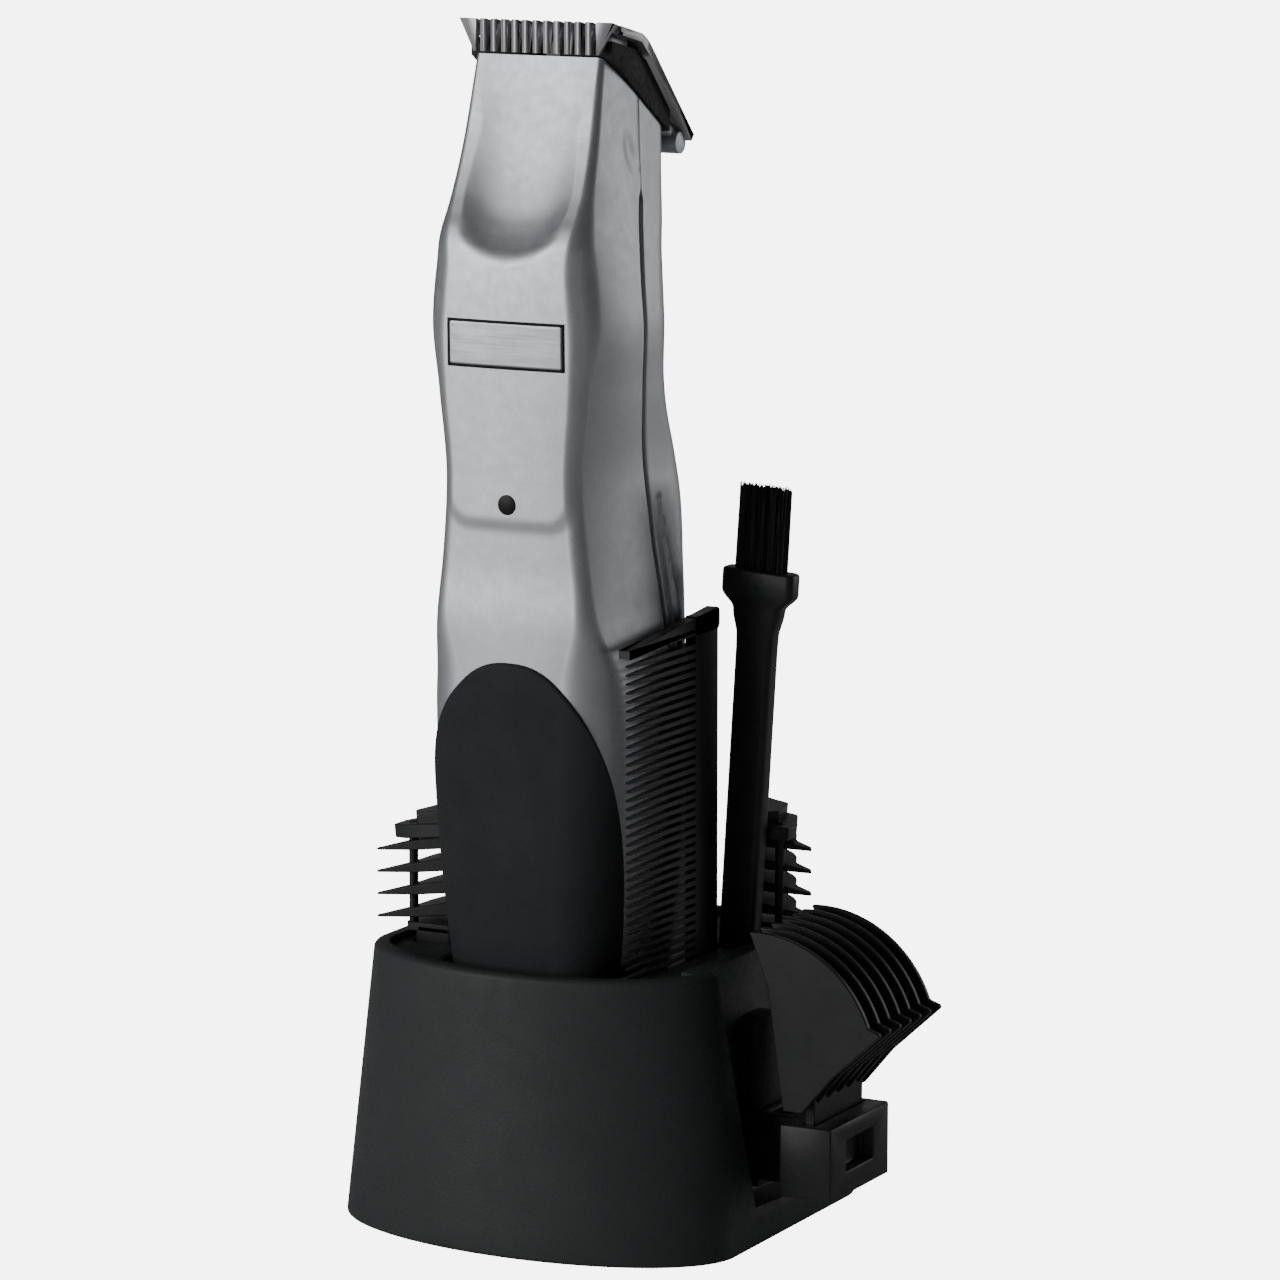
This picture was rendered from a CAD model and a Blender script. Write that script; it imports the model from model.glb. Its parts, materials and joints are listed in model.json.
"""Looks of the cordless beard trimmer in its storage stand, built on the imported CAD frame.

Lengths in the mesh code are millimetres, in the CAD frame; to_mesh() turns them into metres.
"""
import json
import math
import random

import bmesh
import bpy
from mathutils import Matrix, Vector


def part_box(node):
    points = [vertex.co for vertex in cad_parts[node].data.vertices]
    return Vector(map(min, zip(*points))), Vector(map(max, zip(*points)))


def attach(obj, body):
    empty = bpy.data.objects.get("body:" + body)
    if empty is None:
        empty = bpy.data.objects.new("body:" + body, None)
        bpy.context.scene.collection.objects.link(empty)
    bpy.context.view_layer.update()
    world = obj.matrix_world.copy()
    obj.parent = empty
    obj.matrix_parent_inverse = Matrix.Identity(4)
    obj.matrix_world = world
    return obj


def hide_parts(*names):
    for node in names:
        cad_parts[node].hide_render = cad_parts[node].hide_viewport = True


MM = 0.001

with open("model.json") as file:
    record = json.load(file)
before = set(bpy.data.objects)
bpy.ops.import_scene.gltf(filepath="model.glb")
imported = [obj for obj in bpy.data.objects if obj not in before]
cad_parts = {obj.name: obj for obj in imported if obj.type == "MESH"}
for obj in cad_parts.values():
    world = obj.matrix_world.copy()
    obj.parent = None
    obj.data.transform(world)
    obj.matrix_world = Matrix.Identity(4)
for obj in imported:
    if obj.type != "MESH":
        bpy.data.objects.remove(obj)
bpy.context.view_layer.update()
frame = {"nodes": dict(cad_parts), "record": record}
rng = random.Random(11)


def node_box(node):
    """Lowest and highest corner of a CAD node, in millimetres."""
    low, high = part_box(node)
    return low / MM, high / MM


# ---------- mesh helpers ----------

def to_mesh(name, points, faces, sharp_deg=35):
    """A smooth-shaded object from points in millimetres, with edges sharper than sharp_deg kept crisp."""
    mesh = bpy.data.meshes.new(name)
    mesh.from_pydata([Vector(p) * MM for p in points], [], faces)
    mesh.validate()
    part = bpy.data.objects.new(name, mesh)
    bpy.context.scene.collection.objects.link(part)
    bm = bmesh.new()
    bm.from_mesh(mesh)
    bmesh.ops.remove_doubles(bm, verts=bm.verts, dist=0.002 * MM)
    bmesh.ops.recalc_face_normals(bm, faces=bm.faces)
    bm.to_mesh(mesh)
    bm.free()
    shade(part, sharp_deg)
    return part


def shade(part, sharp_deg=35):
    """Smooth shading, with edges sharper than sharp_deg kept crisp."""
    part.data.shade_smooth()
    part.data.set_sharp_from_angle(angle=math.radians(sharp_deg))


def loft(rings, capped=True):
    """Points and faces of a stack of closed rings with equal point counts."""
    count = len(rings[0])
    points = [p for ring in rings for p in ring]
    faces = []
    for i in range(len(rings) - 1):
        for j in range(count):
            a = i * count + j
            b = i * count + (j + 1) % count
            faces.append((a, b, b + count, a + count))
    if capped:
        faces.append(tuple(reversed(range(count))))
        faces.append(tuple(range((len(rings) - 1) * count, len(rings) * count)))
    return points, faces


def prism(outline, place, depth):
    """An outline extruded by depth; place(u, v, w) gives the point for outline (u, v) at depth w."""
    return loft([[place(u, v, w) for u, v in outline] for w in (0, depth)])


def join_shells(*shells):
    """Several (points, faces) shells as one."""
    points, faces = [], []
    for shell_points, shell_faces in shells:
        start = len(points)
        points += list(shell_points)
        faces += [tuple(start + k for k in face) for face in shell_faces]
    return points, faces


def close_sheets(outer, inner, columns, rows):
    """Outer and inner grids of points, joined round their rim into one closed shell."""
    n = len(outer)

    def at(i, j):
        return i * (rows + 1) + j

    faces = []
    for i in range(columns):
        for j in range(rows):
            quad = (at(i, j), at(i + 1, j), at(i + 1, j + 1), at(i, j + 1))
            faces.append(quad)
            faces.append(tuple(k + n for k in reversed(quad)))
    rim = [at(i, 0) for i in range(columns)]
    rim += [at(columns, j) for j in range(rows)]
    rim += [at(i, rows) for i in range(columns, 0, -1)]
    rim += [at(0, j) for j in range(rows, 0, -1)]
    for k, a in enumerate(rim):
        b = rim[(k + 1) % len(rim)]
        faces.append((a, b, b + n, a + n))
    return outer + inner, faces


def arc(cx, cy, r, start, end, steps):
    """Points round a centre from one angle to another, in degrees."""
    angles = [math.radians(start + (end - start) * k / steps) for k in range(steps + 1)]
    return [(cx + r * math.cos(t), cy + r * math.sin(t)) for t in angles]


def rounded_box_outline(low, high, r, steps=5):
    """Rounded rectangle as a list of points."""
    corners = [(high[0] - r, high[1] - r, 0), (low[0] + r, high[1] - r, 90),
               (low[0] + r, low[1] + r, 180), (high[0] - r, low[1] + r, 270)]
    return [p for cx, cy, turn in corners for p in arc(cx, cy, r, turn, turn + 90, steps)]


def tube(start, end, r0, r1, sides=24):
    """A closed round bar between two points, from radius r0 to r1."""
    start, end = Vector(start), Vector(end)
    turn = (end - start).to_track_quat("Z", "Y")
    rings = []
    for centre, r in ((start, r0), (end, r1)):
        circle = arc(0, 0, r, 0, 360 * (sides - 1) / sides, sides - 1)
        rings.append([centre + turn @ Vector((x, y, 0)) for x, y in circle])
    return loft(rings)


def apply_modifiers(part):
    """Bakes the object's modifiers into its mesh."""
    graph = bpy.context.evaluated_depsgraph_get()
    graph.update()
    done = bpy.data.meshes.new_from_object(part.evaluated_get(graph))
    part.modifiers.clear()
    part.data = done
    return part


def cut(part, cutters, operation="DIFFERENCE"):
    """Boolean of part with each (points, faces) shell in turn."""
    tools = []
    for k, (points, faces) in enumerate(cutters):
        tool = to_mesh(f"{part.name}_tool{k}", points, faces)
        step = part.modifiers.new(f"cut{k}", "BOOLEAN")
        step.operation = operation
        step.solver = "EXACT"
        step.object = tool
        tools.append(tool)
    apply_modifiers(part)
    for tool in tools:
        bpy.data.objects.remove(tool)
    return part


def bevel(part, width, segments=2, angle=32):
    """Rounds the edges sharper than angle, width in millimetres."""
    step = part.modifiers.new("rounded_edges", "BEVEL")
    step.width = width * MM
    step.segments = segments
    step.limit_method = "ANGLE"
    step.angle_limit = math.radians(angle)
    step.miter_outer = "MITER_ARC"
    step.use_clamp_overlap = True
    return part


def soften_cad(node, width):
    """Rounds the edges of a CAD node that stays, with modifiers only."""
    part = frame["nodes"][node]
    weld = part.modifiers.new("weld", "WELD")
    weld.merge_threshold = 0.003 * MM
    bevel(part, width)


def finish_piece(part, body, slot, material, *stands_for):
    """Gives a new piece its material, its body and the CAD nodes it stands for."""
    part.data.materials.clear()
    part.data.materials.append(material)
    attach(part, body)
    if stands_for:
        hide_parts(*stands_for)
    return part


# ---------- materials ----------

class Nodes:
    """A short way to build one material's node tree."""

    def __init__(self, name):
        self.material = bpy.data.materials.new(name)
        self.material.use_nodes = True
        self.tree = self.material.node_tree
        self.bsdf = self.tree.nodes["Principled BSDF"]
        self.place = self.add("ShaderNodeTexCoord").outputs["Object"]

    def add(self, kind, **settings):
        node = self.tree.nodes.new(kind)
        for key, value in settings.items():
            setattr(node, key, value)
        return node

    def link(self, source, target):
        self.tree.links.new(source, target)

    def noise(self, scale, detail=4, stretch=(1, 1, 1), roughness=0.6):
        """Noise value; scale is features per metre, stretch squeezes it along the axes."""
        mapping = self.add("ShaderNodeMapping")
        mapping.inputs["Scale"].default_value = stretch
        self.link(self.place, mapping.inputs["Vector"])
        node = self.add("ShaderNodeTexNoise")
        node.inputs["Scale"].default_value = scale
        node.inputs["Detail"].default_value = detail
        node.inputs["Roughness"].default_value = roughness
        self.link(mapping.outputs["Vector"], node.inputs["Vector"])
        return node.outputs["Fac"]

    def ranged(self, value, low, high, in_low=0.3, in_high=0.7):
        """Value stretched from in_low..in_high to low..high."""
        node = self.add("ShaderNodeMapRange")
        for key, amount in (("From Min", in_low), ("From Max", in_high), ("To Min", low), ("To Max", high)):
            node.inputs[key].default_value = amount
        self.link(value, node.inputs["Value"])
        return node.outputs["Result"]

    def mix(self, share, first, second):
        """Colour mix; first and second are colours or sockets."""
        node = self.add("ShaderNodeMix", data_type="RGBA")
        self.link(share, node.inputs["Factor"])
        for socket, colour in ((node.inputs["A"], first), (node.inputs["B"], second)):
            self.set_colour(socket, colour)
        return node.outputs["Result"]

    def set_colour(self, socket, colour):
        if isinstance(colour, (tuple, list)):
            socket.default_value = (*colour[:3], 1)
        else:
            self.link(colour, socket)

    def edges(self, low=0.52, high=0.6):
        """1 on worn convex edges, 0 elsewhere."""
        pointed = self.add("ShaderNodeNewGeometry").outputs["Pointiness"]
        return self.ranged(pointed, 0, 1, low, high)

    def bump(self, height, depth_mm, before=None):
        """Bump from a height value; returns the normal socket."""
        node = self.add("ShaderNodeBump")
        node.inputs["Distance"].default_value = depth_mm * MM
        node.inputs["Strength"].default_value = 1
        self.link(height, node.inputs["Height"])
        if before is not None:
            self.link(before, node.inputs["Normal"])
        return node.outputs["Normal"]


def plastic(name, colour, rough, grain_size, grain_depth, worn=(0.2, 0.2, 0.2), worn_share=0.25, coat=0.0,
            shine=0.5):
    """Moulded plastic or rubber: spark-eroded grain, faint colour drift, rubbed edges."""
    n = Nodes(name)
    n.bsdf.inputs["Specular IOR Level"].default_value = shine
    drift = n.ranged(n.noise(60, 3), 0, 1)
    dark = tuple(c * 0.82 for c in colour)
    base = n.mix(drift, dark, colour)
    wear = n.add("ShaderNodeMath", operation="MULTIPLY")
    n.link(n.edges(), wear.inputs[0])
    n.link(n.ranged(n.noise(900, 5), 0, worn_share), wear.inputs[1])
    n.link(n.mix(wear.outputs["Value"], base, worn), n.bsdf.inputs["Base Color"])
    n.link(n.ranged(n.noise(220, 4), rough - 0.06, rough + 0.06), n.bsdf.inputs["Roughness"])
    grain = n.bump(n.noise(1 / (grain_size * MM), 3), grain_depth)
    ripple = n.bump(n.noise(140, 2), 0.02, grain)
    n.link(ripple, n.bsdf.inputs["Normal"])
    n.bsdf.inputs["Coat Weight"].default_value = coat
    n.bsdf.inputs["Coat Roughness"].default_value = 0.2
    return n.material


def silver_paint():
    """Satin metallic paint: fine flakes, soft mottling and slight polish on the edges."""
    n = Nodes("silver_paint")
    flakes = n.ranged(n.noise(9000, 2), 0, 1, 0.35, 0.65)
    cloud = n.ranged(n.noise(35, 4, (1, 1, 0.35)), 0, 1)
    base = n.mix(cloud, (0.4, 0.415, 0.435), (0.44, 0.455, 0.47))
    sparkle = n.mix(flakes, base, (0.49, 0.505, 0.52))
    n.link(n.mix(n.edges(0.53, 0.64), sparkle, (0.55, 0.56, 0.57)), n.bsdf.inputs["Base Color"])
    n.bsdf.inputs["Metallic"].default_value = 0.92
    n.link(n.ranged(n.noise(500, 4), 0.42, 0.5), n.bsdf.inputs["Roughness"])
    n.link(n.bump(n.noise(7000, 2), 0.006), n.bsdf.inputs["Normal"])
    return n.material


def brushed_metal(name, colour, rough, stretch, line_depth=0.004):
    """Ground or brushed metal with fine lines along the squeezed axis and a little tarnish."""
    n = Nodes(name)
    lines = n.noise(2200, 3, stretch)
    tarnish = n.ranged(n.noise(180, 5), 0, 1)
    base = n.mix(tarnish, tuple(c * 0.78 for c in colour), colour)
    n.link(n.mix(n.edges(), base, tuple(min(1, c * 1.35) for c in colour)), n.bsdf.inputs["Base Color"])
    n.bsdf.inputs["Metallic"].default_value = 1
    n.link(n.ranged(lines, rough - 0.07, rough + 0.1), n.bsdf.inputs["Roughness"])
    n.link(n.bump(lines, line_depth), n.bsdf.inputs["Normal"])
    return n.material


def bristle_material():
    """Nylon bristles: dark, with lighter streaks from hair to hair."""
    n = Nodes("bristle")
    streak = n.ranged(n.noise(1500, 2, (1, 1, 0.03)), 0, 1)
    n.link(n.mix(streak, (0.004, 0.004, 0.0045), (0.014, 0.014, 0.015)), n.bsdf.inputs["Base Color"])
    n.bsdf.inputs["Specular IOR Level"].default_value = 0.25
    n.link(n.ranged(n.noise(2500, 2), 0.3, 0.5), n.bsdf.inputs["Roughness"])
    return n.material


MATERIALS = {
    "silver_paint": silver_paint(),
    "stand_plastic": plastic("stand_plastic", (0.036, 0.039, 0.04), 0.52, 0.45, 0.05,
                             (0.05, 0.053, 0.055), 0.25, shine=0.22),
    "rubber": plastic("rubber", (0.028, 0.029, 0.031), 0.72, 0.3, 0.025,
                      (0.03, 0.03, 0.03), 0.15, shine=0.15),
    "accessory_plastic": plastic("accessory_plastic", (0.02, 0.0205, 0.0215), 0.36, 0.6, 0.012,
                                 (0.032, 0.032, 0.033), 0.2, shine=0.28),
    "inner_plastic": plastic("inner_plastic", (0.006, 0.006, 0.0065), 0.6, 0.4, 0.02, shine=0.15),
    "white_plastic": plastic("white_plastic", (0.72, 0.71, 0.66), 0.4, 0.5, 0.01, (0.8, 0.79, 0.75)),
    "dark_lens": plastic("dark_lens", (0.006, 0.004, 0.004), 0.4, 0.8, 0.003, shine=0.15),
    "cell_wrap": plastic("cell_wrap", (0.06, 0.25, 0.13), 0.28, 0.8, 0.01, coat=0.4),
    "board": plastic("board", (0.02, 0.16, 0.06), 0.3, 0.5, 0.01, coat=0.3),
    "led": plastic("led", (0.6, 0.05, 0.04), 0.2, 0.6, 0.004, coat=0.5),
    "wire_cover": plastic("wire_cover", (0.5, 0.03, 0.025), 0.35, 0.3, 0.008),
    "badge_metal": brushed_metal("badge_metal", (0.4, 0.41, 0.43), 0.42, (0.03, 1, 1)),
    "steel": brushed_metal("steel", (0.52, 0.52, 0.53), 0.3, (1, 1, 0.1)),
    "blade_steel": brushed_metal("blade_steel", (0.42, 0.422, 0.43), 0.5, (1, 0.05, 0.05)),
    "brass": brushed_metal("brass", (0.75, 0.55, 0.24), 0.28, (1, 0.1, 1)),
    "bristle": bristle_material(),
}


def dress_cad_nodes():
    """Every CAD node gets the procedural material of its slot in the record."""
    for part in frame["record"]["subparts"]:
        carried = frame["nodes"][part["node"]]
        carried.data.materials.clear()
        carried.data.materials.append(MATERIALS[part["material_slot"]])
        shade(carried, 30)


# ---------- the housing's form ----------

FOOT_Z = 27.0               # underside of the housing, in the stand's well
FOOT_ROUND = 1.6
NECK_Z = 199.6              # top edge of the front, under the blade
NECK_Y = -18.0
WALL = 2.0
HEAD_TILT = math.tan(math.radians(33))      # slope of the housing's top
TILT_FROM_Z = 165.0         # rings start to lean here
GRIP_T = 0.6
GRIP_TOP_Z = 100.0
LIGHT_Z = 126.5             # charge light's hole
LIGHT_R = 1.7
SOCKET_Y = -10.0            # charge socket's hole in the foot
SOCKET_HALF = 4.1
LEVER_Y = -12.0             # slot in the top that the drive lever comes out of
LEVER_SLOT = (3.8, 2.6)     # its half-width and half-depth
SCREW_HOLES = ((0, 50), (11.2, 156.5), (-11.2, 156.5))
SCREW_HOLE_R = 2.8
SWITCH_FLOOR_Y = 7.5        # floor of the switch's slot in the rear

# Stations up the housing: (height, value). Half-width at the parting line, the front and rear face,
# the parting line itself, how far each side runs in towards the front corner, the corners' radii
# and half the width of the gap along the parting line.
HALF_WIDTH = [(27, 12.4), (55, 15.8), (72, 17.4), (86, 18), (107, 17.2), (130, 15.5), (145, 16.6),
              (157, 17.4), (175, 15.1), (187, 13.4), (NECK_Z, 12.7)]
FRONT_Y = [(27, -24.6), (55, -27.4), (88, -28.1), (130, -28.9), (160, -29.4), (168, -29),
           (170.5, -28.1), (173, -26.6), (176, -25), (181, -22.9), (187, -21), (NECK_Z, NECK_Y)]
REAR_Y = [(27, 2), (55, 4.5), (90, 7), (112, 8.4), (124, 9.4), (132, 7.6), (142, 2.6), (150, 0.6),
          (160, -0.1), (175, 1.4), (187, 2.5), (NECK_Z, 3.3)]
PARTING_Y = [(27, -3), (90, -4), (106, -6.2), (116, -8), (126, -9), (142, -12), (160, -13.6),
             (172, -11.5), (185, -8), (NECK_Z, -7)]
FLARE = [(27, 0), (90, 0), (98, 0.4), (108, 2), (118, 2.5), (145, 2.5), (157, 1.6), (170, 1.4),
         (176, 1.6), (187, 0.8), (NECK_Z, 0.7)]
FRONT_CORNER_R = [(27, 7), (60, 9), (96, 8.4), (107, 3.8), (118, 3), (145, 3.2), (157, 4.8),
                  (165, 4.8), (170, 3.6), (176, 2), (187, 1.5), (NECK_Z, 1.2)]
REAR_CORNER_R = [(27, 7), (60, 9), (150, 9), (166, 8), (175, 6), (187, 3.6), (NECK_Z, 3)]
GROOVE = [(27, 0.06), (95, 0.08), (106, 0.6), (120, 0.85), (150, 0.75), (177.5, 0.8), (180.5, 0.1),
          (NECK_Z, 0.08)]
FRONT_CROWN = 0.4

SCOOP_HALF = 12.6           # the thumb scoop under the blade
SCOOP_FOOT_Z = 166
SCOOP_RISE = 8.6            # how much higher its rim is at the sides
SCOOP_Y = [(SCOOP_FOOT_Z, -30.2), (167, -29.2), (168.4, -27.9), (170.2, -26.5), (172.5, -25.1),
           (175.5, -23.8), (179.5, -22.4), (184.5, -21), (191, -19.5), (NECK_Z, NECK_Y + 0.1)]

PANEL_LOW_Z = 123.0         # lower edge of the raised front panel
PANEL_SIDE = 1.2            # how far it reaches past the flat front
PANEL_RISE = 0.4
PANEL_CORNER = 4.5
PANEL_STEP_W = 2.6

DIMPLE_Y, DIMPLE_Z = -11.2, 186.4           # shallow thumb mark on each side of the neck
DIMPLE_HALF_Y, DIMPLE_HALF_Z = 2.4, 5
DIMPLE_DEPTH = 0.45
ROLL = 0.22                 # rounding of the shells' parting edges
CHANNEL_TOP_Z = 126.4       # channel in the side beside the rear panel
CHANNEL_DEPTH = 0.7
CHANNEL_HALF = 0.75


def curve(z, line):
    """Smooth curve through a few (height, value) stations."""
    last = len(line) - 1
    i = 0
    while i < last - 1 and z >= line[i + 1][0]:
        i += 1

    def slope(k):
        a, b = max(k - 1, 0), min(k + 1, last)
        return (line[b][1] - line[a][1]) / (line[b][0] - line[a][0])

    h = line[i + 1][0] - line[i][0]
    t = (z - line[i][0]) / h
    return ((2 * t**3 - 3 * t**2 + 1) * line[i][1] + (t**3 - 2 * t**2 + t) * h * slope(i)
            + (3 * t**2 - 2 * t**3) * line[i + 1][1] + (t**3 - t**2) * h * slope(i + 1))


def smooth(t):
    """Smooth step from 0 to 1 as t goes from 0 to 1."""
    t = max(0.0, min(1.0, t))
    return t * t * (3 - 2 * t)


def smooth_max(a, b, width):
    """The larger of a and b, blended where they are closer than width."""
    near = max(width - abs(a - b), 0) / width
    return max(a, b) + near * near * width / 4


def front_corner(z):
    """Half-width of the flat front, the corner's radius and the angle at which the side runs into it."""
    r = curve(z, FRONT_CORNER_R)
    flare = curve(z, FLARE)
    run = curve(z, PARTING_Y) - curve(z, FRONT_Y) - r
    turn = math.atan(2 * flare / run)
    return curve(z, HALF_WIDTH) - flare - r * math.cos(turn), r, turn


def crown_at(z):
    """Crown of the front face; it dies away towards the neck's straight top edge."""
    return FRONT_CROWN * (1 - 0.9 * smooth((z - 165) / 15))


def face_y(x, z):
    """Y of the front skin at x, z, before the scoop is taken out."""
    half, r, _ = front_corner(z)
    y_out = curve(z, FRONT_Y)
    if abs(x) <= half:
        return y_out - crown_at(z) * (1 - (x / half) ** 2)
    over = abs(x) - half
    return y_out + r - math.sqrt(max(0, r * r - over * over))


def scooped(x, y, z, d=0.0):
    """Y of the skin point x, y at height z once the scoop is dished out of it; d deepens the floor."""
    u = min(1, abs(x) / SCOOP_HALF)
    fade = max(0, min(1, (NECK_Z - z) / 12))
    s = z - SCOOP_RISE * (1 - math.sqrt(1 - 0.98 * u * u)) * fade
    if s < SCOOP_FOOT_Z:
        floor_y = SCOOP_Y[0][1] - (SCOOP_FOOT_Z - s) * 3
    else:
        floor_y = curve(min(s, NECK_Z), SCOOP_Y)
    share = 1 - u**4
    lip = 0.9 * (1 - smooth((z - SCOOP_FOOT_Z - 4) / 4))
    return smooth_max(y, y + (floor_y + d - y) * share, lip * share + 0.02)


def panel_drop(x, z):
    """How far the skin round the raised front panel lies below it."""
    half = front_corner(z)[0] + PANEL_SIDE
    over_x = abs(x) - (half - PANEL_CORNER)
    over_z = PANEL_LOW_Z + PANEL_CORNER - z
    outside = math.hypot(max(over_x, 0), max(over_z, 0)) + min(max(over_x, over_z), 0) - PANEL_CORNER
    fade = smooth((z - 106) / 10) * smooth((190 - z) / 22)
    return PANEL_RISE * smooth(0.5 + outside / PANEL_STEP_W) * fade


def dimple(x, y, z, a):
    """Depth of the shallow thumb mark on each side of the neck."""
    if abs(x) < a - 1:
        return 0
    reach = ((y - DIMPLE_Y) / DIMPLE_HALF_Y) ** 2 + ((z - DIMPLE_Z) / DIMPLE_HALF_Z) ** 2
    return DIMPLE_DEPTH * (1 - reach) ** 2 if reach < 1 else 0


def tuck_at(z):
    """Rounding of the foot."""
    foot = FOOT_Z + FOOT_ROUND - z
    return FOOT_ROUND - math.sqrt(max(0, FOOT_ROUND**2 - foot**2)) if foot > 0 else 0


def skin_path(z, d, side, edge_y, detail):
    """Half of the housing's outline at height z, right parting edge to left; d moves it inwards."""
    tuck = tuck_at(z)
    a = curve(z, HALF_WIDTH) - d - tuck
    if side < 0:
        y_out = curve(z, FRONT_Y) + d + tuck
        r = max(1, curve(z, FRONT_CORNER_R) - d)
        flare = curve(z, FLARE)
    else:
        y_out = curve(z, REAR_Y) - d - tuck
        r = max(1, min(curve(z, REAR_CORNER_R), (y_out - edge_y) * 0.8) - d)
        flare = 0
    turn = math.atan(2 * flare / ((y_out - edge_y) * side - r))
    arc_x = a - flare - r * math.cos(turn)
    arc_y = y_out - side * r
    end_y = arc_y + side * r * math.sin(turn)
    shares = [k / detail for k in range(detail)]
    straight = [(a - flare * t**2, edge_y + (end_y - edge_y) * t) for t in shares]
    sweep = (math.pi / 2 - turn) / (2 * detail)
    bend = [(arc_x + r * math.cos(turn + sweep * k), arc_y + side * r * math.sin(turn + sweep * k))
            for k in range(2 * detail + 1)]
    columns = 6 * detail
    xs = [arc_x * (1 - 2 * k / columns) for k in range(1, columns)]
    face = [(x, y_out + side * crown_at(z) * (1 - (x / arc_x) ** 2)) for x in xs]
    right = straight + bend
    left = [(-x, y) for x, y in reversed(right)]
    return right + face + left


def tilt(x, y, z, drop=0.0):
    """The point moved down to follow the housing's sloping top."""
    lean = max(0, z - TILT_FROM_Z) / (NECK_Z - TILT_FROM_Z)
    return (x, y, z - lean * ((y - NECK_Y) * HEAD_TILT + drop))


def outer_ring(z, side, detail=14):
    """One ring of the outer skin with its rolled parting edge, scoop, panel and thumb marks."""
    edge_y = curve(z, PARTING_Y) + side * curve(z, GROOVE)
    path = skin_path(z, 0, side, edge_y + side * ROLL, detail)
    a = path[0][0]
    mid_roll = (1 - math.sqrt(0.5)) * ROLL
    lip = [(a - ROLL, edge_y), (a - mid_roll, edge_y + side * mid_roll)]
    ring = []
    for x, y in path:
        inward = dimple(x, y, z, a)
        if side < 0:
            y = scooped(x, y + panel_drop(x, z), z)
        else:
            inward += rear_step(x, y, z, a)
        ring.append((x - math.copysign(inward, x), y))
    ring = lip + ring + [(-x, y) for x, y in reversed(lip)]
    return [tilt(x, y, z) for x, y in ring]


def rear_step(x, y, z, a):
    """Depth of the side's channel where the rear panel stands back from the parting line."""
    if abs(x) < a - 2:
        return 0
    middle = -5.6 + (CHANNEL_TOP_Z - z) * 0.16
    across = smooth((CHANNEL_HALF - abs(y - middle)) / 0.4)
    return CHANNEL_DEPTH * across * smooth((CHANNEL_TOP_Z - z) / 1.2) * smooth((z - 88) / 14)


def heights(low):
    """Ring heights: fine at the foot and round the scoop, wider elsewhere."""
    steps = [low, low + 0.15, low + 0.4, low + 0.8, low + 1.3, low + 1.8, low + 2.6]
    z = low + 4
    while z < NECK_Z - 0.5:
        steps.append(z)
        if 163.5 < z < 174:
            z += 0.3
        elif 116 < z < 130:
            z += 0.6
        elif 174 <= z < 190:
            z += 0.8
        else:
            z += 1.6
    return steps + [NECK_Z]


def housing_half(name, side):
    """One hollow half of the housing: side -1 front, +1 rear."""
    outer = loft([outer_ring(z, side) for z in heights(FOOT_Z)])
    lid = WALL / math.cos(math.atan(HEAD_TILT))
    inner_rings = []
    for z in heights(FOOT_Z + WALL)[::3] + [NECK_Z]:
        over = curve(z, PARTING_Y) - side
        ring = [(x, scooped(x, y, z, WALL) if side < 0 else y) for x, y in skin_path(z, WALL, side, over, 4)]
        inner_rings.append([tilt(x, y, z, lid) for x, y in ring])
    part = to_mesh(name, *outer)
    return cut(part, [loft(inner_rings)])


# ---------- trimmer ----------

def bar_y(x, z, r, y0, y1):
    """A closed round bar along Y."""
    return tube((x, y0, z), (x, y1, z), r, r, 32)


def box_shell(low, high):
    """A box between two corners."""
    outline = [(low[0], low[1]), (high[0], low[1]), (high[0], high[1]), (low[0], high[1])]
    return loft([[(x, y, z) for x, y in outline] for z in (low[2], high[2])])


def make_front_shell():
    part = housing_half("front_housing", -1)
    light_y = curve(LIGHT_Z, FRONT_Y) - FRONT_CROWN
    slot_x, slot_y = LEVER_SLOT
    half = SOCKET_HALF
    cut(part, [
        bar_y(0, LIGHT_Z, LIGHT_R, light_y - 2, light_y + 4),
        box_shell((-half, SOCKET_Y - half, FOOT_Z - 1), (half, SOCKET_Y + half, FOOT_Z + 5)),
        box_shell((-slot_x, LEVER_Y - slot_y, NECK_Z - 11.6), (slot_x, LEVER_Y + slot_y, NECK_Z + 5.4)),
    ])
    shade(part, 40)
    return finish_piece(part, "trimmer", "silver_paint", MATERIALS["silver_paint"], "front_shell")


def make_rear_shell():
    part = housing_half("rear_housing", 1)
    low, high = node_box("power_switch")
    outside_y = 14
    cutters = [
        box_shell((-7, SWITCH_FLOOR_Y, low[2] - 0.5), (7, outside_y, high[2] + 4.5)),
        box_shell((-2.4, 3, low[2] + 3.7), (2.4, 10, low[2] + 12.3)),
    ]
    for x, z in SCREW_HOLES:
        cutters.append(bar_y(x, z, SCREW_HOLE_R, curve(z, REAR_Y) - 2.2, outside_y))
    cut(part, cutters)
    shade(part, 40)
    return finish_piece(part, "trimmer", "silver_paint", MATERIALS["silver_paint"], "rear_shell")


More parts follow.
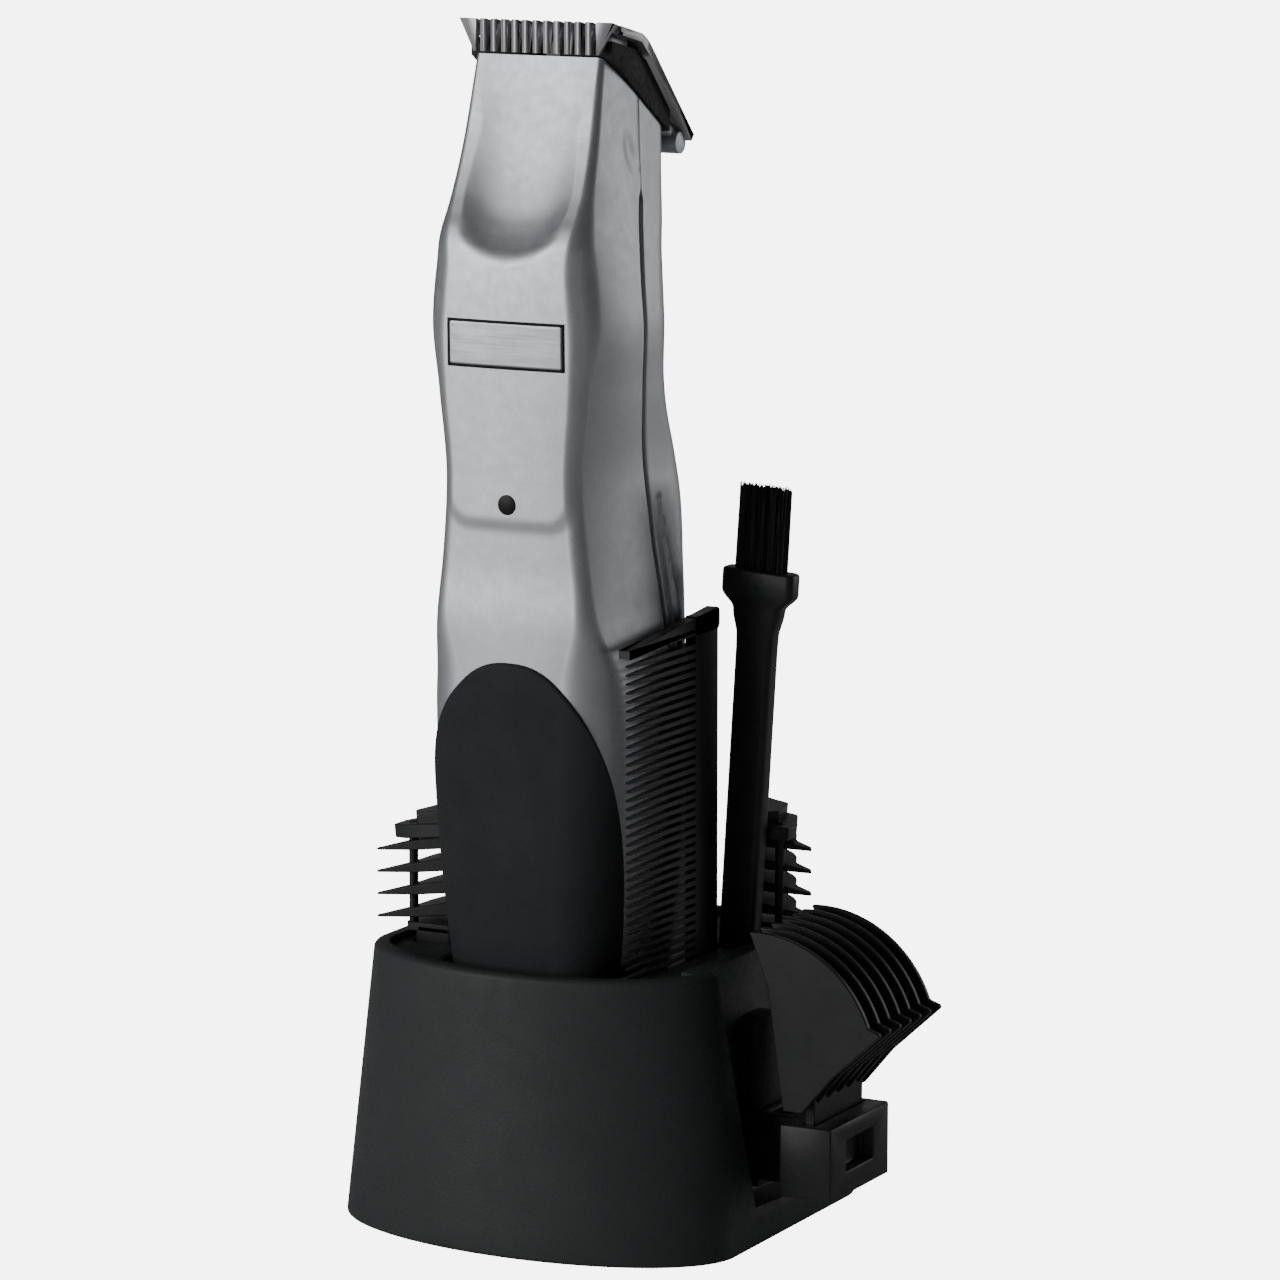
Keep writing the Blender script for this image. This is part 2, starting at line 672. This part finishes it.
def grip_point(u, z, d):
    """Point of the housing's front at height z, u from the right edge (0) to the left (1), d proud."""
    edge_y = -20            # the grip's edges along the sides
    half, r, turn = front_corner(z)
    a, flare, part_y = curve(z, HALF_WIDTH), curve(z, FLARE), curve(z, PARTING_Y)
    arc_y = curve(z, FRONT_Y) + r
    end_y = arc_y - r * math.sin(turn)
    side_len = max(0, edge_y - end_y)
    arc_len = r * (math.pi / 2 - turn)
    total = 2 * (side_len + arc_len + half)
    mirrored = -1 if u > 0.5 else 1
    m = min(u, 1 - u) * total
    if m < side_len:
        y = edge_y - m
        x = a + d - flare * ((part_y - y) / (part_y - end_y)) ** 2
    elif m < side_len + arc_len:
        t = turn + (m - side_len) / r
        x, y = half + (r + d) * math.cos(t), arc_y - (r + d) * math.sin(t)
    else:
        x = half - (m - side_len - arc_len)
        y = arc_y - r - d - crown_at(z) * (1 - (x / half) ** 2)
    return (mirrored * x, y, z)


def make_grip():
    """Soft grip: a sheet that thins to a rounded edge all round."""
    columns, rows = 120, 90
    low_z = FOOT_Z + FOOT_ROUND + 0.6

    def top_z(u):
        return low_z + (GRIP_TOP_Z - low_z) * (1 - abs(2 * u - 1) ** 2.4) ** 0.42

    def sheet(proud):
        points = []
        for i in range(columns + 1):
            u = 0.5 - 0.5 * math.cos(math.pi * i / columns)
            for j in range(rows + 1):
                v = 0.5 - 0.5 * math.cos(math.pi * j / rows)
                high = max(low_z + 8, top_z(u))
                z = low_z + v * (high - low_z)
                edge = min(1 - v, v) * (high - low_z)
                edge = min(edge, min(u, 1 - u) * 40)
                rounding = math.sqrt(1 - (1 - min(1, edge / 0.9)) ** 2)
                points.append(grip_point(u, z, 0.06 + proud * rounding if proud > 0 else 0.03))
        return points

    part = to_mesh("soft_grip", *close_sheets(sheet(GRIP_T), sheet(0), columns, rows), 50)
    return finish_piece(part, "trimmer", "rubber", MATERIALS["rubber"], "front_grip")


def make_badge():
    """Blank badge: a plate that follows the face, with a dark frame round its raised field."""
    low, high = node_box("name_plate")
    columns, rows = 96, 48
    half_w, mid_z, half_h = high[0], (low[2] + high[2]) / 2, (high[2] - low[2]) / 2
    corner, frame_w = 0.8, 0.5

    def inside_edge(x, z):
        over_x, over_z = abs(x) - half_w + corner, abs(z - mid_z) - half_h + corner
        return corner - math.hypot(max(over_x, 0), max(over_z, 0)) - min(max(over_x, over_z), 0)

    def height(x, z):
        inside = inside_edge(x, z)
        edge = 0.1 * math.sqrt(max(0, 1 - (1 - min(1, inside / 0.2)) ** 2))
        return 0.02 + edge + 0.1 * smooth((inside - frame_w) / 0.15)

    def spread(k, count):
        t = 2 * k / count - 1
        return math.copysign(1 - (1 - abs(t)) ** 1.7, t)

    outer, inner = [], []
    for i in range(columns + 1):
        for j in range(rows + 1):
            x, z = spread(i, columns) * half_w, mid_z + spread(j, rows) * half_h
            y = face_y(x, z)
            outer.append((x, y - height(x, z), z))
            inner.append((x, y + 0.5, z))
    part = to_mesh("blank_badge", *close_sheets(outer, inner, columns, rows), 60)
    finish_piece(part, "trimmer", "badge_metal", MATERIALS["badge_metal"], "name_plate")
    part.data.materials.append(MATERIALS["inner_plastic"])
    for face in part.data.polygons:
        x, _, z = face.center / MM
        if inside_edge(x, z) < frame_w + 0.05:
            face.material_index = 1
    return part


# ---------- stand ----------

STAND_H = 48.3
STAND_WALL = 2.4
DECK_Z = STAND_H - 1.2      # the deck lies inside a low rim band
POCKET_X = 30.0             # wall of the open bay in the right side
PLUG_HOLE_R = 7.5
FOOT_HALF_W, FOOT_BACK_Y, FOOT_BULGE = 37.0, 33.5, 18.4
RIM_IN_X, RIM_IN_Y, RIM_IN_FRONT = 4.8, 2.0, 1.2    # how much smaller the plan is at the rim

# Wells in the deck: lowest corner (x, y, floor), highest corner (x, y) and corner radius.
WELLS = {
    "trimmer": ((-16.9, -28.9, 27), (16.9, 5.2), 8),
    "comb": ((18.55, -26.0, 13.8), (21.35, 7.2), 0.4),
    "left_guide": ((-27.7, -14, 33.8), (-19.8, -4), 1),
    "right_guide": ((19.6, 14, 33.8), (27.5, 24), 1),
}


def stand_outline(w, side_y, bulge, back, r):
    """Plan of the stand: elliptical front, straight sides, rounded rear corners."""
    front = [(w * math.sin(t), side_y - bulge * math.cos(t))
             for t in (math.radians(-90 + 2.5 * k) for k in range(73))]
    rear = arc(w - r, back - r, r, 0, 90, 12) + arc(r - w, back - r, r, 90, 180, 12)
    return front + rear


def stand_level(share, d):
    """Plan between the foot (share 0) and the rim (share 1), moved inwards by d."""
    w = FOOT_HALF_W - RIM_IN_X * share - d
    side_y = -18 + RIM_IN_Y * share
    bulge = FOOT_BULGE - RIM_IN_FRONT * share - d
    back = FOOT_BACK_Y - RIM_IN_Y * share - d
    return stand_outline(w, side_y, bulge, back, 8 - d)


def stand_block():
    """The tapering outer form with a rolled foot and rim."""
    low_z, high_z, foot_r, rim_r = 0.4, STAND_H, 0.8, 1.1
    rings = []
    for k in range(7):
        t = math.radians(90 * k / 6)
        rings.append((low_z + foot_r * (1 - math.cos(t)), foot_r * (1 - math.sin(t))))
    for k in range(1, 12):
        rings.append((low_z + foot_r + (high_z - rim_r - low_z - foot_r) * k / 12, 0))
    for k in range(9):
        t = math.radians(90 * k / 8)
        rings.append((high_z - rim_r + rim_r * math.sin(t), rim_r * (1 - math.cos(t))))
    return loft([[(x, y, z) for x, y in stand_level((z - low_z) / (high_z - low_z), d)] for z, d in rings])


def well(low, high, r):
    """A well's cutter with a slightly flared mouth."""
    flare = 0.45
    levels = [(low[2], 0), (DECK_Z - 0.5, 0), (DECK_Z, flare), (STAND_H + 2, flare)]
    rings = []
    for z, d in levels:
        outline = rounded_box_outline((low[0] - d, low[1] - d), (high[0] + d, high[1] + d), r + d, 8)
        rings.append([(x, y, z) for x, y in outline])
    return loft(rings)


def side_bay():
    """Cutter for the open bay in the right side, with its sloping front edge."""
    outline = [(-9.5, 7), (-16.5, 51), (50, 51), (50, 3.9)]
    return prism(outline, lambda y, z, w: (POCKET_X + w, y, z), 20)


def deck_cutter():
    """The recess inside the rim band."""
    half_w = FOOT_HALF_W - RIM_IN_X - 0.3 - STAND_WALL
    back_y = FOOT_BACK_Y - RIM_IN_Y - 0.2 - STAND_WALL
    inner = stand_outline(half_w, RIM_IN_Y - 18, FOOT_BULGE - RIM_IN_FRONT - STAND_WALL, back_y, 6)
    bay_x = POCKET_X - 3.4
    points = [(x if y < -18.5 else min(x, bay_x), y) for x, y in inner]
    return loft([[(x, y, z) for x, y in points] for z in (DECK_Z, STAND_H + 8)])


def brush_point(x, y, z):
    """A point in the brush's own leaning frame, in the CAD frame."""
    foot_x, foot_y, foot_z = 21.4, 9.6, 15
    lean = math.radians(3.5)
    across = x * math.cos(lean) + z * math.sin(lean)
    up = z * math.cos(lean) - x * math.sin(lean)
    return (foot_x + across, foot_y + y, foot_z + up)


def make_stand():
    part = to_mesh("stand_shell", *stand_block())
    brush_well = loft([[brush_point(x, y, z) for x, y in rounded_box_outline((-3.7, -2.6), (3.7, 2.6), 0.5)]
                       for z in (-0.2, 40)])
    hollow = loft([[(x, y, z) for x, y in stand_level(0, 2.6)] for z in (-1, 3.4)])
    cut(part, [
        deck_cutter(),
        side_bay(),
        *[well(*sizes) for sizes in WELLS.values()],
        brush_well,
        hollow,
        tube((0, SOCKET_Y, 0), (0, SOCKET_Y, 40), PLUG_HOLE_R, PLUG_HOLE_R, 48),
    ])
    bevel(part, 0.45, 3, 40)
    apply_modifiers(part)
    shade(part, 40)
    return finish_piece(part, "stand", "stand_plastic", MATERIALS["stand_plastic"], "stand_body")


def make_hanger():
    """Upright T rail on the bay's wall."""
    low_z, high_z = 9, 38
    web = box_shell((POCKET_X - 0.5, -2, low_z), (POCKET_X + 2.6, 4, high_z))
    head = box_shell((POCKET_X + 2.5, -4, low_z), (POCKET_X + 4.1, 6, high_z))
    part = to_mesh("hanger_rail", *web)
    cut(part, [head], "UNION")
    bevel(part, 0.35, 2)
    apply_modifiers(part)
    shade(part)
    return finish_piece(part, "stand", "stand_plastic", MATERIALS["stand_plastic"])


# ---------- comb ----------

def make_comb():
    """Barber comb: rounded spine at the rear, tapering teeth to the front, solid ends."""
    low, high = node_box("barber_comb")
    mid_x, half_t = (low[0] + high[0]) / 2, (high[0] - low[0]) / 2
    root_y, back_y, tip_y = high[1] - 8.8, high[1], low[1]
    pitch, end_h = 1.5, 2.6
    first_z = low[2] + end_h + 0.8
    count = int((high[2] - end_h - 1.2 - first_z) / pitch)

    def spine_section(z):
        r = 0.9
        corner = arc(half_t - r, 0, r, 0, 90, 5)
        near = [(mid_x + half_t, root_y)] + [(mid_x + x, back_y - r + y) for x, y in corner]
        far = [(2 * mid_x - x, y) for x, y in reversed(near)]
        return [(x, y, z) for x, y in near + far]

    def tooth_section(half, bottom, top):
        return [(half, bottom), (half, top), (-half, top), (-half, bottom)]

    shells = [loft([spine_section(z) for z in (low[2] + 0.6, low[2] + 2, high[2] - 2, high[2] - 0.6)])]
    for k in range(count):
        z = first_z + k * pitch
        root = tooth_section(half_t, 0, 0.93)
        middle = tooth_section(half_t * 0.72, 0.14, 0.82)
        tip = tooth_section(half_t * 0.36, 0.3, 0.64)
        reach = [(root_y + 0.3, root), (root_y - 14, middle), (tip_y + 1.2, tip)]
        rings = [[(mid_x + x, y, z + h) for x, h in section] for y, section in reach]
        rings.append([(mid_x + x * 0.4, tip_y + 0.6, z + 0.47 + (h - 0.47) * 0.4) for x, h in tip])
        shells.append(loft(rings))
    ends = ((low[2], first_z - 0.8, 0), (high[2] - end_h - 1.2, high[2], 3.2))
    for z0, z1, droop in ends:
        outline = []
        for y, z in rounded_box_outline((tip_y, z0), (back_y, z1), 1.0, 5):
            if y < root_y and z > z0 + 2:
                z -= droop * (root_y - y) / (root_y - tip_y)
            outline.append((y, z))
        shells.append(prism(outline, lambda y, z, w: (low[0] + w, y, z), 2 * half_t))
    part = to_mesh("styling_comb", *join_shells(*shells))
    bevel(part, 0.12, 2)
    return finish_piece(part, "comb", "accessory_plastic", MATERIALS["accessory_plastic"], "barber_comb")


# ---------- brush ----------

BRUSH_LEN = 112.0           # from its foot to the bristles' tips
HEAD_LOW = BRUSH_LEN - 18.4
TUFT_Z = HEAD_LOW + 3.8     # where the bristles come out


def make_brush_handle():
    """Handle with a soft oval section that widens into the head."""
    grip_half, head_half = 3.4, 6.7
    widths = [(0, 2.6), (1, grip_half), (40, grip_half), (HEAD_LOW - 8, grip_half), (HEAD_LOW - 3, 4.4),
              (HEAD_LOW, head_half), (TUFT_Z, head_half)]
    rings = []
    levels = [0, 0.3, 0.8, 1.5] + [4 * k for k in range(1, 22)]
    levels += [HEAD_LOW - 7 + 0.5 * k for k in range(14)]
    levels += [HEAD_LOW, HEAD_LOW + 0.3, HEAD_LOW + 0.8, TUFT_Z - 0.5, TUFT_Z - 0.15, TUFT_Z]
    for z in levels:
        station = next(k for k in range(len(widths) - 1) if z <= widths[k + 1][0])
        (z0, w0), (z1, w1) = widths[station], widths[station + 1]
        half = w0 + (w1 - w0) * smooth((z - z0) / (z1 - z0))
        ease = 0.35 if z in (0, TUFT_Z) else 0.1 if z in (0.3, TUFT_Z - 0.15) else 0
        outline = rounded_box_outline((-half + ease, -2 + ease), (half - ease, 2 - ease), 1.1, 5)
        rings.append([brush_point(x, y, z) for x, y in outline])
    part = to_mesh("brush_body", *loft(rings), 45)
    return finish_piece(part, "brush", "accessory_plastic", MATERIALS["accessory_plastic"], "brush_handle")


def make_bristles():
    """Five tufts of fine bristles that splay a little towards their tips."""
    shells = []
    tufts, tuft_pitch, hairs = 5, 1.95, 70
    golden_turn = 2.39996
    for tuft in range(tufts):
        tuft_x = (tuft - (tufts - 1) / 2) * tuft_pitch
        for k in range(hairs):
            turn = k * golden_turn
            spread = math.sqrt((k + 0.5) / hairs)
            x, y = tuft_x + 0.85 * spread * math.cos(turn), 1.1 * spread * math.sin(turn)
            top = BRUSH_LEN - rng.uniform(0, 1.1)
            dx = rng.uniform(-0.28, 0.28) + (x - tuft_x) * 0.25 - tuft_x * 0.05
            dy = rng.uniform(-0.25, 0.25) + y * 0.25
            rings = []
            root_z = TUFT_Z - 0.4
            for share in (0, 0.35, 0.7, 1):
                z = root_z + (top - root_z) * share
                bend = share * share
                r = 0.12 - 0.03 * share
                circle = arc(0, 0, r, 0, 300, 5)
                rings.append([brush_point(x + dx * bend + cx, y + dy * bend + cy, z) for cx, cy in circle])
            shells.append(loft(rings))
    part = to_mesh("brush_tufts", *join_shells(*shells), 60)
    return finish_piece(part, "brush", "bristle", MATERIALS["bristle"], "brush_bristles")


# ---------- guide combs ----------

def make_small_guide(name, node, body, place, tip_y):
    """Upright guide: drooping pointed plates tied by bars, a slanted shoulder and a clip block."""
    outline = [(0, -5), (6, 0.35 * tip_y - 3.6), (13.2, tip_y), (12.4, tip_y + 1.3)]
    outline += [(9.4, 0.5 * tip_y + 1.2)] + arc(5, 1.4, 3.4, 5, 90, 8) + [(0, 4.8)]
    first_z, pitch, thick, count = 52.2, 3.9, 2.3, 4
    last_z = first_z + count * pitch

    def leaning(base_z, degrees):
        c, s = math.cos(math.radians(degrees)), math.sin(math.radians(degrees))
        return lambda x, y, w: place(x * c + w * s, y, base_z - x * s + w * c)

    def taper(base_z):
        lean = leaning(base_z, 9)

        def point(x, y, w):
            share = 1 - 0.8 * smooth((x - 2) / 11)
            return lean(x, y, thick / 2 + (w - thick / 2) * share)
        return point

    shells = [prism(outline, taper(first_z + k * pitch), thick) for k in range(count)]
    flange_z = STAND_H + 0.4
    shells.append(tube(place(8, -3.4, flange_z + 0.5), place(8, -3.4, last_z), 0.8, 0.8))
    shells.append(tube(place(1.4, 0, flange_z + 0.5), place(1.4, 0, last_z), 1.2, 1.2))
    block = rounded_box_outline((0, -4.6), (7.3, 4.6), 0.8)
    flange = rounded_box_outline((0, -4.6), (9, 4.6), 0.8)
    shells.append(prism(block, lambda x, y, w: place(x, y, 34 + w), flange_z + 1 - 34))
    shells.append(prism(flange, lambda x, y, w: place(x, y, flange_z + w), 1.6))
    shoulder = [(0, -6), (8, -6.6), (10.5, -5.4), (10.5, -2), (7.4, 4.4), (0, 5.2)]
    cap = [(0, -5), (6, -5.6), (7.6, -3), (6, 3.6), (0, 4.6)]
    shells.append(prism(shoulder, leaning(last_z - 1.8, 6), 2.4))
    shells.append(prism(cap, leaning(last_z + 0.4, 6), 2.2))
    part = to_mesh(name, *join_shells(*shells))
    bevel(part, 0.2, 2)
    return finish_piece(part, body, "accessory_plastic", MATERIALS["accessory_plastic"], node)


def make_side_comb():
    """Fan of curved plates tied by round bars, with the tongue that slides in the base."""
    low, high = node_box("side_guide_comb")
    outline = ([(36.4, 54.4)] + arc(38, 33.5, 21.5, 95, 20, 30)
               + [(60.2, 40.2), (60.3, 39.6), (59.2, 38.6), (51.5, 31.5), (46.1, 25), (42.5, 25), (39.6, 46)])
    pitch, thick, count = 3.9, 1.1, 7
    shells = []
    for k in range(count):
        y0 = low[1] + k * pitch
        shells.append(prism(outline, lambda x, z, w, y0=y0: (x, y0 + w, z), thick))
    for x, z, r in ((48, 33, 1.6), (43.8, 28.2, 1.2), (40.4, 49, 1.3)):
        shells.append(bar_y(x, z, r, low[1] + 0.3, high[1] - 0.3))
    shells.append(box_shell((45.2, low[1] + 3, 12.6), (47, high[1] - 3, 30.6)))
    part = to_mesh("side_guide_fan", *join_shells(*shells))
    bevel(part, 0.22, 2)
    plastic_slot = "accessory_plastic"
    return finish_piece(part, "side_comb", plastic_slot, MATERIALS[plastic_slot], "side_guide_comb")


# ---------- stage, light and camera ----------

def make_stage():
    """Pale floor that curves up into a backdrop."""
    front_y, bend_y, bend_r, top_z = -1.6, 1.2, 0.6, 2.6
    under = 0.0002          # the paper lies this far below the stand
    bend = [(bend_y + y, z + bend_r) for y, z in arc(0, 0, bend_r, -90, 0, 12)]
    profile = [(front_y, 0), (bend_y, 0)] + bend + [(bend_y + bend_r, top_z)]
    points = [(x, y, z - under) for x in (-1.0, 1.0) for y, z in profile]
    n = len(profile)
    faces = [(k, k + 1, n + k + 1, n + k) for k in range(n - 1)]
    mesh = bpy.data.meshes.new("backdrop")
    mesh.from_pydata(points, [], faces)
    floor = bpy.data.objects.new("backdrop", mesh)
    bpy.context.scene.collection.objects.link(floor)
    n = Nodes("floor_paper")
    paper = n.mix(n.ranged(n.noise(3, 2), 0, 1), (0.86, 0.86, 0.86), (0.88, 0.88, 0.88))
    n.link(paper, n.bsdf.inputs["Base Color"])
    n.bsdf.inputs["Roughness"].default_value = 0.9
    n.bsdf.inputs["Emission Color"].default_value = (1, 1, 1, 1)
    seen = n.add("ShaderNodeLightPath").outputs["Is Camera Ray"]
    n.link(n.ranged(seen, 0, 6, 0, 1), n.bsdf.inputs["Emission Strength"])
    mesh.materials.append(n.material)
    floor.rotation_euler = (0, 0, math.radians(28))


def softbox(name, place, target, size, power):
    """A rectangular lamp that faces its target."""
    light = bpy.data.lights.new(name, "AREA")
    light.shape = "RECTANGLE"
    light.size, light.size_y = size
    light.energy = power
    lamp = bpy.data.objects.new(name, light)
    bpy.context.scene.collection.objects.link(lamp)
    lamp.location = place
    lamp.rotation_euler = (Vector(target) - Vector(place)).to_track_quat("-Z", "Y").to_euler()


def make_light():
    world = bpy.data.worlds.new("studio")
    bpy.context.scene.world = world
    world.use_nodes = True
    background = world.node_tree.nodes["Background"]
    background.inputs["Color"].default_value = (0.95, 0.97, 1, 1)
    seen = world.node_tree.nodes.new("ShaderNodeLightPath")
    strength = world.node_tree.nodes.new("ShaderNodeMapRange")
    strength.inputs["To Min"].default_value = 0.1
    strength.inputs["To Max"].default_value = 4
    world.node_tree.links.new(seen.outputs["Is Camera Ray"], strength.inputs["Value"])
    world.node_tree.links.new(strength.outputs["Result"], background.inputs["Strength"])
    target = (0, 0, 0.1)
    softbox("key", (-0.62, -1.0, 0.38), target, (0.7, 0.8), 9.5)
    softbox("fill", (0.75, 1.0, 0.35), target, (0.6, 0.8), 2.6)


def make_camera():
    azimuth, pitch = math.radians(27.99), math.radians(9.99)
    level = math.cos(pitch)
    back = Vector((math.sin(azimuth) * level, -math.cos(azimuth) * level, math.sin(pitch)))
    camera = bpy.data.cameras.new("camera")
    camera.sensor_width = 36
    camera.lens = 162.9
    camera.clip_start, camera.clip_end = 0.05, 20
    holder = bpy.data.objects.new("camera", camera)
    bpy.context.scene.collection.objects.link(holder)
    holder.location = Vector((461.4, -850.7, 269.9)) * MM
    holder.rotation_euler = (-back).to_track_quat("-Z", "Y").to_euler()
    bpy.context.scene.camera = holder


def left_guide_place(x, y, z):
    return (-20 - x, -9 + y, z)


def right_guide_place(x, y, z):
    return (20 + x, 19 + y, z)


dress_cad_nodes()
make_front_shell()
make_rear_shell()
make_grip()
make_badge()
make_stand()
make_hanger()
make_comb()
make_brush_handle()
make_bristles()
make_small_guide("guide_comb_left", "left_guide", "left_guide", left_guide_place, -7.2)
make_small_guide("guide_comb_right", "right_guide", "right_guide", right_guide_place, -1.5)
make_side_comb()
for node, width in (("fixed_blade", 0.1), ("moving_blade", 0.06), ("blade_base", 0.2), ("blade_heel", 0.2),
                    ("side_guide_base", 0.35), ("power_switch", 0.25), ("charge_light_lens", 0.25)):
    soften_cad(node, width)
make_stage()
make_light()
make_camera()
